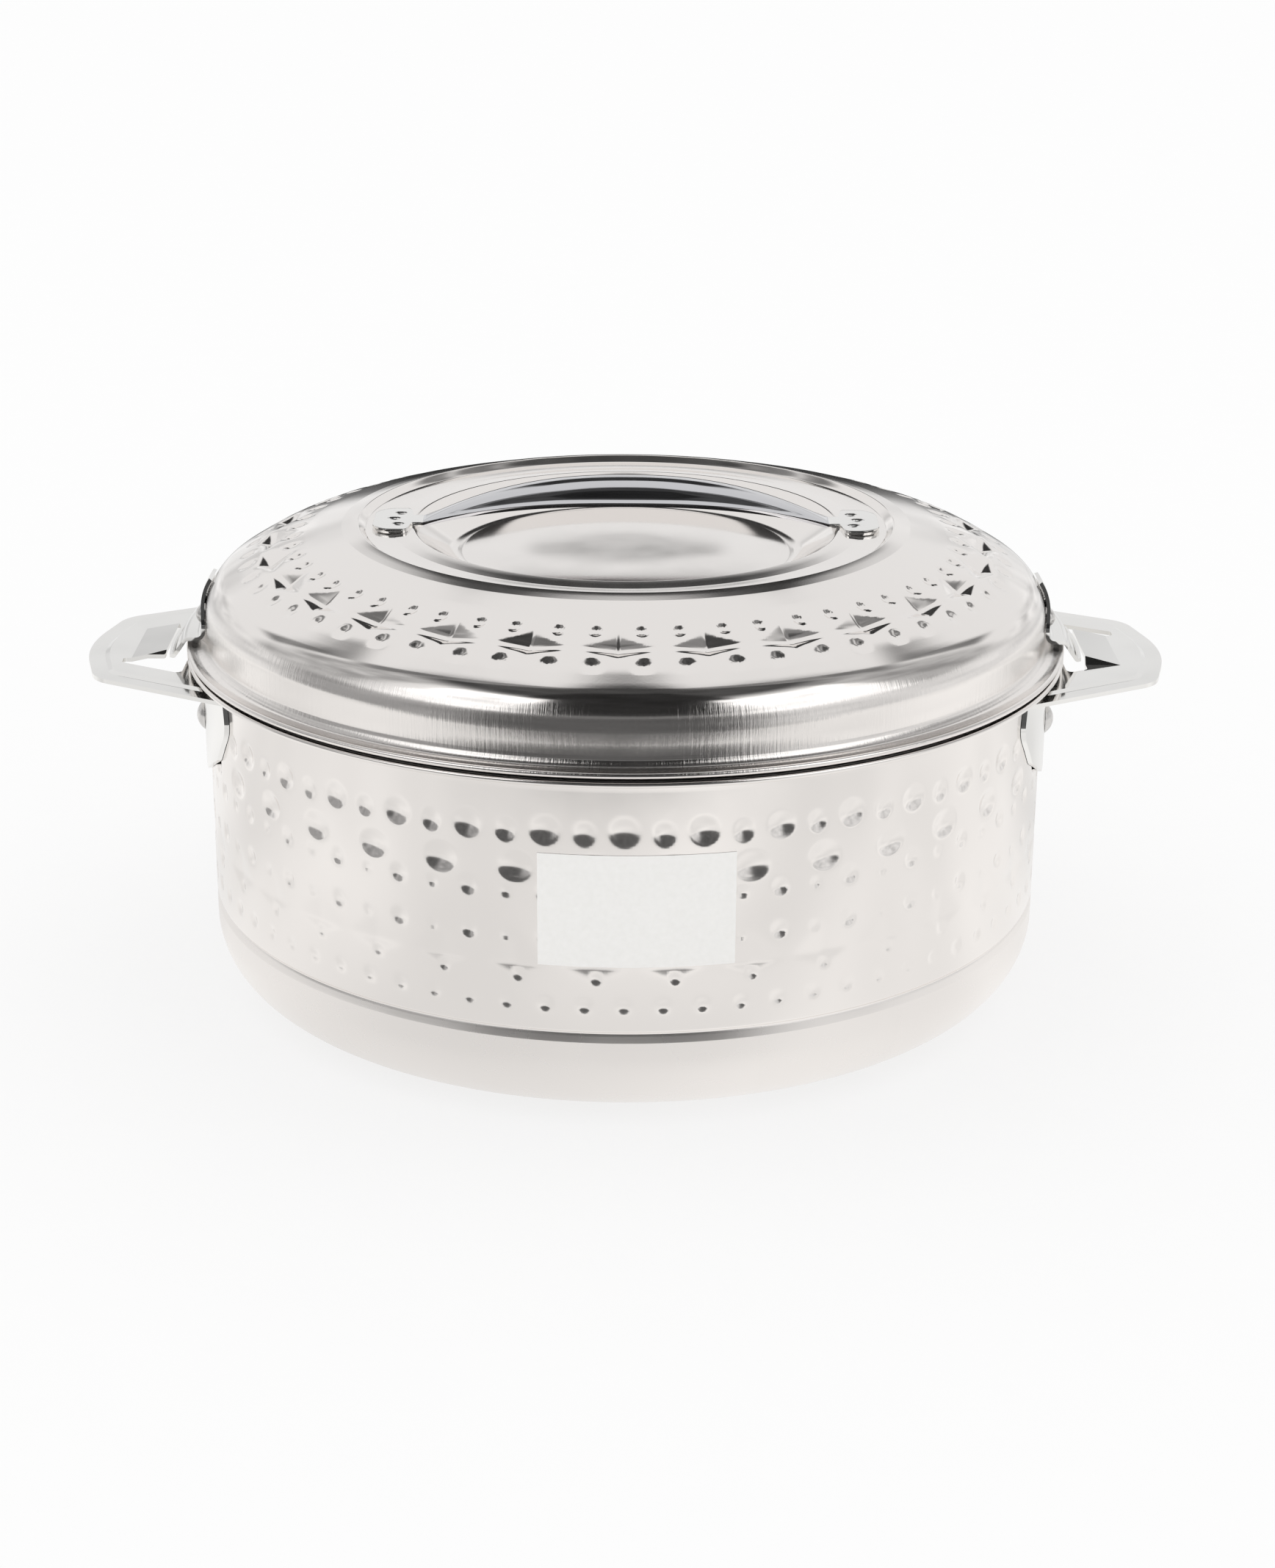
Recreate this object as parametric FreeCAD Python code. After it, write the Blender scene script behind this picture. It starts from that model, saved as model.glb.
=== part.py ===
import FreeCAD, Part
import math
import os

# Insulated serving pot with a twist-lock lid.  Millimetres, +Z up.
# The origin is the centre of the base, on the surface that the pot stands on.
# The handles point along +X and -X, and the front of the pot faces -Y.

V = FreeCAD.Vector
AXIS = V(0, 0, 1)
ORIGIN = V(0, 0, 0)

# ---- driving dimensions: pot ----
rim_height = 98.0            # the plane where lid and pot meet
rim_radius = 125.0           # outside of both rolled rims
rim_roll = 0.95              # radius of a rolled edge
rim_gap = 0.4                # open line between the two rolled edges
sheet = 0.6                  # stainless sheet of the shells
rim_overhang = 5.5           # how far the rims stand out past the pot wall
foot_corner = 19.5           # radius between the wall and the foot
foot_width = 29.5            # from the wall in to the raised middle of the base
foot_recess_run = 3.0        # radial run of that middle's sloping edge
foot_recess = 2.5            # height of the raised middle
ridge_height = 24.0          # belt between the hammered wall and the base cup
ridge_step = 0.7             # how far the belt stands out of its groove
ridge_run = 1.1              # height of the belt's upper flank
seam_clearance = 0.1         # between a tucked-in edge and the rolled edge round it
wall_thickness = 12.9        # from the outside of the pot wall to the inside of the bowl
bowl_floor = 12.0            # height of the bowl's floor
bowl_corner = 22.0
bowl_lip_corner = 2.4
foam_clearance = 0.2         # between the foam and the sheets round it
dent_room = 1.2              # further room behind the outer shells for their hammered dents
plug_radius = 7.0
plug_clearance = 0.1
plug_head = 2.6              # how far the plug's head stands out past its hole
plug_thickness = 1.1

# ---- driving dimensions: lid ----
lid_overhang = 5.7           # how far the rims stand out past the lid's wall
lid_wall_height = 17.1       # corner between the shoulder's wall and its slope
shoulder_round = 12.0
shoulder_width = 16.3        # from the wall in to the break in the slope
slope_break_height = 27.1
slope_width = 21.0           # from that break in to the ridge round the middle of the lid
crest_height = 34.0
crest_round = 14.0
crest_width = 8.7            # from the ridge in to the flat ring that carries the handle
ring_width = 13.7
ring_height = 32.8
dish_edge_width = 6.1        # from the flat ring in to the dish's floor
dish_floor_height = 25.6
dish_crown = 0.5             # rise of the dish floor at its centre
cove_round = 3.0             # hollow between the lid's wall and its rim
liner_inset = 20.3           # from the lid's wall in to the corner of the hollow's ceiling
liner_height = 15.0          # ceiling of the lid's hollow, above the rim plane
skirt_clearance = 0.9        # between the lid's skirt and the bowl
skirt_width = 2.4
skirt_depth = 4.5            # how far the skirt reaches into the bowl

# ---- driving dimensions: pot handles ----
handle_sheet = 1.2
handle_seat = 0.1            # air between the flange and the wall
handle_top = -3.8            # plate's upper face, from the rim plane
handle_border = 4.6          # flat border round the raised middle of the plate
handle_step = 0.6            # how far the middle is raised
handle_step_run = 1.3        # plan width of the slope between them
handle_reach = 30.6          # corner at the middle of the outer end, past the rim
handle_corner_reach = 23.5   # corners beside it, past the rim
handle_corner_y = 29.0
handle_root_inset = 25.0     # where the sides begin, inside the rim
handle_root_y = 56.2
tongue_start_reach = 5.4
tongue_end_reach = 20.0      # where it has run out into the plate
tongue_open_side = 12.8      # half width to its free edge, beside the opening
tongue_closed_side = 16.5    # half width to the foot of its sloping side
tongue_rise = 2.2            # at its mouth
tongue_slope = 1.6
opening_inset = 0.8          # where the opening begins, inside the rim
opening_reach = 17.5         # where it ends, past the rim
opening_land = 13.5          # from the handle's edge to the opening, beside the tongue's free edge
mouth_land = 17.0            # the same on the tongue's closed side
flange_width = 104.0
flange_knee = 13.0           # depth below the rim plane of its widest place
flange_depth = 33.0
flange_hip_width = 86.0
flange_hip = 24.0
flange_tip_width = 48.0
handle_rivet_y = 13.0
handle_rivet_drop = 20.5     # below the rim plane
handle_rivet_head = 4.3
handle_rivet_dome = 2.3
handle_rivet_shank = 2.3
rivet_fit = 0.08             # air round a shank in its hole
clench_extra = 1.0           # how much wider than the shank the clenched end is
clench_thickness = 1.0
backing_sheet = 1.2
backing_width = 44.0
backing_height = 13.0

# ---- driving dimensions: lid clips ----
clip_sheet = 1.0
clip_width = 36.0
clip_tip_width = 29.0
clip_top = 17.0
clip_top_width = 9.0
clip_seat = 0.4              # air between the clip's flange and the lid wall
clip_shelf = 2.9             # underside of the shelf that passes over the rims
clip_tip_drop = 2.8          # the tip's underside, below the rim plane
clip_joggle_run = 3.6
clip_tip_gap = 0.4           # open line between the tip and the handle's tongue
clip_rivet_y = 8.0
clip_rivet_height = 7.9      # above the rim plane
clip_rivet_head = 2.7
clip_rivet_dome = 1.7
clip_rivet_shank = 1.6
clip_backing_sheet = 0.8
clip_backing_width = 25.0
clip_backing_height = 6.2

# ---- driving dimensions: lid handle ----
pinch_inset = 2.1            # from the flat ring in to the bow's pinches
bow_rise = 12.4              # crown above the tabs
bow_half_width = 11.2
bow_waist = 4.0              # half width at the pinches
bow_droop = 5.0              # how far the edges hang below the crown
bow_sheet = 1.3
tab_thickness = 1.3
tab_seat = 0.1
tab_half_width = 11.8
tab_margin = 1.8             # flat left outside the tabs
tab_corner = 6.0
weld_radius = 1.0
weld_depth = 0.4
weld_spacing = 6.0

# ---- driving dimensions: label ----
label_width = 51.0
label_height = 30.6
label_drop = 37.1            # its middle, below the rim plane
label_turn = 1.55            # degrees to the right of the front
label_paper = 0.15
label_seat = 0.05

# ---- smaller roundings and details ----
foot_bend = 1.5
ridge_round = 0.8
collar_round = 1.5
handle_corner_round = 11.0
handle_end_round = 60.0
handle_step_bend = 0.5
opening_round = 1.6
flange_round = 7.0
flange_shoulder = 1.5        # how much narrower the flange is at its top, each side
plug_lip = 0.8
plug_room_height = 3.0
dish_floor_round = 5.0
dish_edge_round = 8.0
ring_round = 2.0
slope_round = 60.0
liner_round = 8.0
skirt_round = 0.9
clip_bend = 1.2
clip_lean_round = 9.0
clip_corner = 3.0
weld_bow = 1.5               # the middle weld lies this much further out
bow_arch = 2.3               # exponents of the bow's arch and of its plan
bow_taper = 2.5
bow_steps = 5                # sections in each half of the bow
TINY = 0.0005


def rim(z):
    """A height given from the rim plane, as a height above the base."""
    return rim_height + z


pot_seam = rim(-rim_gap / 2 - rim_roll)      # where bowl and shell lie on each other
lid_seam = rim(rim_gap / 2 + rim_roll)       # where lid shell and liner lie on each other
roll_centre = rim_radius - rim_roll
tucked_edge = roll_centre - rim_roll - seam_clearance
wall_radius = rim_radius - rim_overhang
foot_recess_radius = wall_radius - foot_width
bowl_radius = wall_radius - wall_thickness
lid_wall_radius = rim_radius - lid_overhang
slope_break_radius = lid_wall_radius - shoulder_width
crest_radius = slope_break_radius - slope_width
ring_outer_radius = crest_radius - crest_width
ring_inner_radius = ring_outer_radius - ring_width
dish_floor_radius = ring_inner_radius - dish_edge_width
liner_radius = lid_wall_radius - liner_inset
handle_end = rim_radius + handle_reach
handle_corner_x = rim_radius + handle_corner_reach
handle_root_x = rim_radius - handle_root_inset
tongue_start = rim_radius + tongue_start_reach
tongue_end = rim_radius + tongue_end_reach
opening_start = rim_radius - opening_inset
opening_end = rim_radius + opening_reach
bow_span = ring_inner_radius - pinch_inset   # half the distance between the two pinches
tab_end = ring_outer_radius - tab_margin
tab_top = rim(ring_height) + tab_seat + tab_thickness


# ---- paths: lists of corners (x, y, rounding) ----
def unit(a, b):
    length = math.hypot(b[0] - a[0], b[1] - a[1])
    return ((b[0] - a[0]) / length, (b[1] - a[1]) / length)


def turn_at(corners, i):
    """Directions before and after a corner, and the signed angle between them."""
    u = unit(corners[i - 1], corners[i])
    w = unit(corners[i], corners[(i + 1) % len(corners)])
    return u, w, math.atan2(u[0] * w[1] - u[1] * w[0], u[0] * w[0] + u[1] * w[1])


def shifted(corners, distance, closed=False):
    """The same path moved sideways, to the left of travel when distance is positive."""
    last = len(corners) - 1
    result = []
    for i, (x, y, rounding) in enumerate(corners):
        if closed or 0 < i < last:
            u, w, turn = turn_at(corners, i)
        else:
            u = unit(corners[0], corners[1]) if i == 0 else unit(corners[-2], corners[-1])
            turn = 0.0
        lean = math.tan(turn / 2)
        move = (-u[1] - lean * u[0], u[0] - lean * u[1])
        changed = max(rounding - math.copysign(distance, distance * turn), 0.0)
        result.append((x + distance * move[0], y + distance * move[1], changed if rounding else 0.0))
    return result


def tangent_lengths(corners, closed):
    """How far each rounding reaches along its sides, less where two of them would meet."""
    last = len(corners) - 1
    lengths = []
    for i, corner in enumerate(corners):
        if closed or 0 < i < last:
            lengths.append(corner[2] * math.tan(abs(turn_at(corners, i)[2]) / 2))
        else:
            lengths.append(0.0)
    for i in range(len(corners) if closed else last):
        j = (i + 1) % len(corners)
        room = math.dist(corners[i][:2], corners[j][:2])
        if lengths[i] + lengths[j] > room:
            share = room / (lengths[i] + lengths[j])
            lengths[i] *= share
            lengths[j] *= share
    return lengths


def path_edges(corners, place, closed=False):
    """Straight runs and tangent arcs along the corners; place(x, y) gives the point in space."""
    lengths = tangent_lengths(corners, closed)
    bends = []
    for i, (x, y, _) in enumerate(corners):
        if lengths[i] < TINY:
            bends.append([(x, y)])
            continue
        u, w, turn = turn_at(corners, i)
        reach = lengths[i] * math.tan(abs(turn) / 4)
        inward = unit(u, w)
        start = (x - u[0] * lengths[i], y - u[1] * lengths[i])
        middle = (x + inward[0] * reach, y + inward[1] * reach)
        end = (x + w[0] * lengths[i], y + w[1] * lengths[i])
        bends.append([start, middle, end])
    edges = []
    for i, bend in enumerate(bends):
        if len(bend) == 3:
            edges.append(Part.Arc(*[place(*point) for point in bend]).toShape())
        follow = bends[(i + 1) % len(bends)][0]
        if (closed or i < len(bends) - 1) and math.dist(bend[-1], follow) > TINY:
            edges.append(Part.LineSegment(place(*bend[-1]), place(*follow)).toShape())
    return edges


# ---- solids from paths ----
def section(r, z):
    return V(r, 0, z)


def facing(y, z):
    """A point of an outline drawn across the +X side, in front of which a solid is cut out."""
    return V(0, y, z)


def plan(height):
    return lambda x, y: V(x, y, height)


def closed_wire(corners, place):
    return Part.Wire(path_edges(corners, place, closed=True))


def slab(corners, place, thickness):
    """A flat outline extruded along a vector."""
    return Part.Face(closed_wire(corners, place)).extrude(thickness)


def turned(face, angle=360.0):
    """A section turned about the pot's axis, centred on +X when it isn't a full turn."""
    solid = face.revolve(ORIGIN, AXIS, angle)
    if angle < 360.0:
        solid.rotate(ORIGIN, AXIS, -angle / 2)
    return solid


def sheet_ring(corners, thickness, angle=360.0):
    """Pressed sheet of revolution; its thickness lies to the left of the path when positive."""
    other = shifted(corners, thickness)
    edges = path_edges(corners, section)
    edges.append(Part.LineSegment(section(*corners[-1][:2]), section(*other[-1][:2])).toShape())
    edges += path_edges(other, section)
    edges.append(Part.LineSegment(section(*other[0][:2]), section(*corners[0][:2])).toShape())
    return turned(Part.Face(Part.Wire(Part.sortEdges(edges)[0])), angle)


def solid_ring(corners):
    """A solid of revolution from a closed outline of (radius, height, rounding)."""
    return turned(Part.Face(closed_wire(corners, section)))


def wedge(r_in, r_out, low, high, width):
    """A piece of a round wall, centred on +X; width is measured along its outside."""
    corners = [(r_in, low, 0), (r_out, low, 0), (r_out, high, 0), (r_in, high, 0)]
    return turned(Part.Face(closed_wire(corners, section)), math.degrees(width / r_out))


def rolled_edge(seam):
    return Part.makeTorus(roll_centre, rim_roll, V(0, 0, seam), AXIS)


def opposite(shape):
    """The same piece on the -X side."""
    copy = shape.copy()
    copy.rotate(ORIGIN, AXIS, 180)
    return copy


def both_sides(shape):
    return [shape, opposite(shape)]


# ---- rivets ----
def rivet_angle(y, radius):
    return math.degrees(math.asin(y / radius))


def rivet(tail_seat, head_seat, height, shank_radius, head_radius, dome):
    """A rivet along +X: a domed head outside, a shank and a clenched end inside."""
    out = V(1, 0, 0)
    clench_radius = shank_radius + clench_extra
    tail_face = math.sqrt(tail_seat ** 2 - clench_radius ** 2) - seam_clearance / 2
    head_face = head_seat + seam_clearance / 2
    start = V(tail_face - clench_thickness, 0, height)
    shank = Part.makeCylinder(shank_radius, head_face - start.x, start, out)
    clench = Part.makeCylinder(clench_radius, clench_thickness, start, out)
    ball_radius = (head_radius ** 2 + dome ** 2) / (2 * dome)
    ball = Part.makeSphere(ball_radius, V(head_face + dome - ball_radius, 0, height))
    head = ball.common(Part.makeCylinder(head_radius + dome, dome, V(head_face, 0, height), out))
    return shank.fuse([clench, head]).removeSplitter()


def spread(shape, y, radius):
    """Two copies of a piece on +X, turned to y and -y on a round wall."""
    pair = []
    for sign in (-1, 1):
        copy = shape.copy()
        copy.rotate(ORIGIN, AXIS, sign * rivet_angle(y, radius))
        pair.append(copy)
    return pair


def rivet_holes(y, radius, height, shank_radius):
    start = V(radius / 2, 0, height)
    drill = Part.makeCylinder(shank_radius + rivet_fit, radius, start, V(1, 0, 0))
    return spread(drill, y, radius)


handle_rivet_height = rim(-handle_rivet_drop)
clip_pin_height = rim(clip_rivet_height)
handle_drills = rivet_holes(handle_rivet_y, wall_radius, handle_rivet_height, handle_rivet_shank)
clip_drills = rivet_holes(clip_rivet_y, lid_wall_radius, clip_pin_height, clip_rivet_shank)


# ---- pot ----
def foot_path(radius):
    """From the middle of the base out to the wall, for a wall of this radius."""
    return [(0, foot_recess, 0),
            (foot_recess_radius, foot_recess, foot_bend),
            (foot_recess_radius + foot_recess_run, 0, foot_bend),
            (radius, 0, foot_corner)]


def outer_shell():
    path = foot_path(wall_radius)
    path.append((wall_radius, ridge_height, ridge_round))
    path.append((wall_radius - ridge_step, ridge_height + ridge_run, ridge_round))
    path.append((wall_radius, ridge_height + ridge_run * 3, ridge_round))
    path.append((wall_radius, pot_seam - sheet, collar_round))
    path.append((roll_centre, pot_seam - sheet, 0))
    shell = sheet_ring(path, sheet).fuse(rolled_edge(pot_seam))
    shell = shell.cut(Part.makeCylinder(plug_radius, foot_recess * 2, ORIGIN, AXIS))
    return shell.cut([hole for drill in handle_drills for hole in both_sides(drill)])


def bowl_path():
    return [(0, bowl_floor, 0),
            (bowl_radius, bowl_floor, bowl_corner),
            (bowl_radius, pot_seam + sheet, bowl_lip_corner),
            (tucked_edge, pot_seam + sheet, 0)]


def inner_bowl():
    return sheet_ring(bowl_path(), -sheet)


def backing_strip(wall, thickness, middle, height, width):
    """A curved strip that lies against the inside of a wall."""
    outside = wall - sheet - seam_clearance
    return wedge(outside - thickness, outside, middle - height / 2, middle + height / 2, width)


def backing_pocket(wall, thickness, middle, height, width):
    """Room in the foam for a backing strip and the clenched ends of its rivets."""
    depth = sheet + thickness + clench_thickness + 4 * foam_clearance
    reach = height / 2 + 3 * foam_clearance
    return wedge(wall - depth, wall, middle - reach, middle + reach, width + 6 * foam_clearance)


def body_insulation():
    gap = sheet + foam_clearance
    shell_room = wall_radius - ridge_step - dent_room
    outside = shifted(foot_path(shell_room), gap)
    foam_top = pot_seam - sheet - foam_clearance
    outline = outside[:-1]
    outline.append((shell_room - gap, outside[-1][1], outside[-1][2]))
    outline.append((shell_room - gap, foam_top, 0))
    inside = shifted(bowl_path()[:3], -gap)
    outline.append((inside[1][0], foam_top, bowl_lip_corner))
    outline.append(inside[1])
    outline.append(inside[0])
    foam = solid_ring(outline)
    plug_room = Part.makeCylinder(plug_radius + plug_head, plug_room_height, V(0, 0, foot_recess), AXIS)
    pocket = backing_pocket(wall_radius, backing_sheet, handle_rivet_height,
                            backing_height, backing_width)
    return foam.cut([plug_room] + both_sides(pocket))


def plug(seat, direction):
    """A snap-in plug: a flat head against seat, a stem through the sheet and a lip behind it."""
    head = Part.makeCylinder(plug_radius + plug_head, plug_thickness, seat, direction * -1)
    stem = Part.makeCylinder(plug_radius - plug_clearance, sheet + plug_clearance, seat, direction)
    behind = seat + direction * (sheet + plug_clearance)
    lip = Part.makeCylinder(plug_radius + plug_lip, plug_thickness, behind, direction)
    return head.fuse([stem, lip]).removeSplitter()


def handle_outline(inset):
    """Plan of a pot handle on the +X side, from its near root round its outer end."""
    outline = [(handle_root_x, -handle_root_y, 0),
               (handle_corner_x, -handle_corner_y, handle_corner_round),
               (handle_end, 0, handle_end_round),
               (handle_corner_x, handle_corner_y, handle_corner_round),
               (handle_root_x, handle_root_y, 0)]
    return shifted(outline, inset, closed=True)


def raised_middle(low, high):
    """The raised part of the plate: a solid with sloping sides inside the flat border."""
    run = handle_step_run * (high - low) / handle_step
    wires = [closed_wire(handle_outline(handle_border), plan(low)),
             closed_wire(handle_outline(handle_border + run), plan(high))]
    return Part.makeLoft(wires, True, True)


def tongue_section(x, low, rise, inset):
    """Cross-section of the tongue before its free side is cut; inset narrows it."""
    run = tongue_slope * rise / tongue_rise
    closed, opened = inset - tongue_closed_side, tongue_open_side + tongue_slope
    corners = [(closed, low), (opened, low), (opened - run, low + rise), (closed + run, low + rise)]
    return Part.makePolygon([V(x, y, z) for y, z in corners + corners[:1]])


def tongue_wedge(low, rise, inset):
    """A wedge, highest at the mouth, that runs out into the plate."""
    sections = [tongue_section(tongue_start, low, rise, inset),
                tongue_section(tongue_end, low, rise / 20, inset)]
    return Part.makeLoft(sections, True, True)


def edges_at(shape, height):
    """Edges that lie in the horizontal plane at a height."""
    return [edge for edge in shape.Edges
            if abs(edge.BoundBox.ZMin - height) < TINY and abs(edge.BoundBox.ZMax - height) < TINY]


def side_reach(x, land):
    """Half width of the handle inside a land, at a distance from the axis."""
    near, far = handle_outline(land)[:2]
    return -near[1] - (far[1] - near[1]) * (x - near[0]) / (far[0] - near[0])


def clip_opening():
    """Hole under the clip's tip, with an arm along the tongue where the clip comes in from."""
    outline = [(opening_start, -side_reach(opening_start, mouth_land), opening_round),
               (tongue_start, -side_reach(tongue_start, mouth_land), opening_round),
               (tongue_start, tongue_open_side, opening_round / 2),
               (opening_end, tongue_open_side, opening_round / 2),
               (opening_end, side_reach(opening_end, opening_land), opening_round / 2),
               (opening_start, side_reach(opening_start, opening_land), opening_round)]
    low = rim(handle_top - 2 * handle_sheet)
    return slab(outline, plan(low), AXIS * (tongue_rise + 3 * handle_sheet))


def handle_flange():
    """The curved plate against the wall, like a shield."""
    half_top = flange_width / 2
    top = rim(handle_top)
    outline = [(-flange_tip_width / 2, rim(-flange_depth), flange_round),
               (flange_tip_width / 2, rim(-flange_depth), flange_round),
               (flange_hip_width / 2, rim(-flange_hip), flange_round),
               (half_top, rim(-flange_knee), flange_round),
               (half_top - flange_shoulder, top, 0),
               (flange_shoulder - half_top, top, 0),
               (-half_top, rim(-flange_knee), flange_round),
               (-flange_hip_width / 2, rim(-flange_hip), flange_round)]
    inside = wall_radius + handle_seat
    ring = wedge(inside, inside + handle_sheet, rim(-flange_depth), top, flange_width * 1.2)
    flange = ring.common(slab(outline, facing, V(2 * wall_radius, 0, 0)))
    return flange.cut(handle_drills)


def pot_handle():
    top = rim(handle_top)
    border_top = top - handle_step
    under = border_top - handle_sheet
    middle = raised_middle(border_top, top)
    middle = middle.makeFillet(handle_step_bend, edges_at(middle, top))
    plate = slab(handle_outline(0), plan(under), AXIS * handle_sheet).fuse(middle)
    plate = plate.cut(raised_middle(under, top - handle_sheet))
    tongue = tongue_wedge(top - handle_sheet, tongue_rise + handle_sheet, 0)
    channel = tongue_wedge(top - 2 * handle_sheet, tongue_rise + handle_sheet, handle_sheet)
    plate = plate.fuse(tongue).cut(channel)
    plate = plate.cut(clip_opening())
    wall = Part.makeCylinder(wall_radius + handle_seat, rim_height, ORIGIN, AXIS)
    return plate.cut(wall).fuse(handle_flange()).removeSplitter()


def handle_backing():
    strip = backing_strip(wall_radius, backing_sheet, handle_rivet_height,
                          backing_height, backing_width)
    return strip.cut(handle_drills)


def handle_rivets():
    tail = wall_radius - sheet - seam_clearance - backing_sheet
    head = wall_radius + handle_seat + handle_sheet
    one = rivet(tail, head, handle_rivet_height,
                handle_rivet_shank, handle_rivet_head, handle_rivet_dome)
    return Part.makeCompound(spread(one, handle_rivet_y, wall_radius))


def front_label():
    inside = wall_radius + label_seat
    low = rim(-label_drop) - label_height / 2
    label = wedge(inside, inside + label_paper, low, low + label_height, label_width)
    label.rotate(ORIGIN, AXIS, label_turn - 90)
    return label


# ---- lid ----
def lid_path():
    """Upper face of the lid, from its centre out to the rim."""
    floor = rim(dish_floor_height)
    crown_run = dish_floor_radius / 2
    crown_turn = math.atan(dish_crown / crown_run)
    return [(0, floor + dish_crown, 0),
            (crown_run, floor + dish_crown, crown_run / math.tan(crown_turn / 2)),
            (dish_floor_radius, floor, dish_floor_round),
            (ring_inner_radius, rim(ring_height), dish_edge_round),
            (ring_outer_radius, rim(ring_height), ring_round),
            (crest_radius, rim(crest_height), crest_round),
            (slope_break_radius, rim(slope_break_height), slope_round),
            (lid_wall_radius, rim(lid_wall_height), shoulder_round),
            (lid_wall_radius, lid_seam + sheet, cove_round),
            (roll_centre, lid_seam + sheet, 0)]


def lid_outer_shell():
    shell = sheet_ring(lid_path(), -sheet).fuse(rolled_edge(lid_seam))
    return shell.cut([hole for drill in clip_drills for hole in both_sides(drill)])


def liner_path():
    """Underside of the lid, from its centre out to the rim, with the skirt that enters the bowl."""
    skirt_out = bowl_radius - skirt_clearance
    return [(0, rim(liner_height), 0),
            (liner_radius, rim(liner_height), liner_round),
            (skirt_out - skirt_width, rim(-skirt_depth), skirt_round),
            (skirt_out, rim(-skirt_depth), skirt_round),
            (skirt_out, lid_seam - sheet, skirt_round),
            (tucked_edge, lid_seam - sheet, 0)]


def lid_inner_liner():
    liner = sheet_ring(liner_path(), sheet)
    hole = Part.makeCylinder(plug_radius, 2 * sheet, V(0, 0, rim(liner_height) - sheet / 2), AXIS)
    return liner.cut(hole)


def lid_insulation():
    gap = sheet + foam_clearance
    above = shifted(lid_path()[:-1], -gap - dent_room)
    below = shifted(liner_path()[:3], gap)
    low = lid_seam + foam_clearance
    outline = above[:-1]
    outline.append((lid_wall_radius - gap - dent_room, low, 0))
    share = (low - below[1][1]) / (below[2][1] - below[1][1])
    outline.append((below[1][0] + share * (below[2][0] - below[1][0]), low, 0))
    outline.append(below[1])
    outline.append(below[0])
    foam = solid_ring(outline)
    plug_room = Part.makeCylinder(plug_radius + plug_head, plug_room_height,
                                  V(0, 0, rim(liner_height)), AXIS)
    pocket = backing_pocket(lid_wall_radius, clip_backing_sheet, clip_pin_height,
                            clip_backing_height, clip_backing_width)
    return foam.cut([plug_room] + both_sides(pocket))


def shoulder_radius(height):
    """Radius of the lid's shoulder at a height above its wall."""
    fall = math.atan2(slope_break_height - lid_wall_height, lid_wall_radius - slope_break_radius)
    start = lid_wall_height - shoulder_round * math.tan((math.pi / 2 - fall) / 2)
    rise = min(max(height - start, 0), shoulder_round)
    return lid_wall_radius - shoulder_round + math.sqrt(shoulder_round ** 2 - rise ** 2)


def lid_clip():
    """Flange up the lid's shoulder, shelf over the rims, and a tip stepped down to the tongue."""
    flange = lid_wall_radius + clip_seat
    knee = (clip_top + lid_wall_height - shoulder_round / 2) / 2
    path = [(shoulder_radius(clip_top) + clip_seat, rim(clip_top), 0),
            (flange, rim(knee), clip_lean_round),
            (flange, rim(clip_shelf), cove_round - clip_seat),
            (rim_radius, rim(clip_shelf), clip_bend),
            (rim_radius + clip_joggle_run, rim(-clip_tip_drop), clip_bend),
            (tongue_start - clip_tip_gap, rim(-clip_tip_drop), 0)]
    turn = math.degrees(2 * clip_width / flange)
    band = sheet_ring(path, clip_sheet, turn)
    half = clip_width / 2
    outline = [(-half, rim(-clip_width), 0),
               (half, rim(-clip_width), 0),
               (half, rim(clip_rivet_height), clip_corner),
               (clip_top_width / 2, rim(clip_top + clip_sheet), clip_corner),
               (-clip_top_width / 2, rim(clip_top + clip_sheet), clip_corner),
               (-half, rim(clip_rivet_height), clip_corner)]
    tip_half = clip_tip_width / 2
    taper = [(0, -half, 0),
             (rim_radius, -half, clip_corner),
             (tongue_start, -tip_half, 0),
             (tongue_start, tip_half, 0),
             (rim_radius, half, clip_corner),
             (0, half, 0)]
    band = band.common(slab(outline, facing, V(2 * wall_radius, 0, 0)))
    band = band.common(slab(taper, plan(rim(-clip_width)), AXIS * (3 * clip_width)))
    return band.cut(clip_drills)


def clip_backing():
    strip = backing_strip(lid_wall_radius, clip_backing_sheet, clip_pin_height,
                          clip_backing_height, clip_backing_width)
    return strip.cut(clip_drills)


def clip_rivets():
    tail = lid_wall_radius - sheet - seam_clearance - clip_backing_sheet
    head = lid_wall_radius + clip_seat + clip_sheet
    one = rivet(tail, head, clip_pin_height, clip_rivet_shank, clip_rivet_head, clip_rivet_dome)
    return Part.makeCompound(spread(one, clip_rivet_y, lid_wall_radius))


def bow_section(share):
    """Cross-section of the bow at a share of its half span, from -1 to 1."""
    x = share * bow_span
    crown = tab_top + bow_rise * (1 - abs(share) ** bow_arch)
    half = bow_waist + (bow_half_width - bow_waist) * (1 - abs(share) ** bow_taper)
    edge = crown - bow_droop * (1 - share ** 2) - seam_clearance
    low = V(0, 0, -bow_sheet)
    left = V(x, -half, edge)
    right = V(x, half, edge)
    top = V(x, 0, crown)
    edges = [Part.Arc(left, top, right).toShape(),
             Part.LineSegment(right, right + low).toShape(),
             Part.Arc(right + low, top + low, left + low).toShape(),
             Part.LineSegment(left + low, left).toShape()]
    return Part.Wire(edges)


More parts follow.
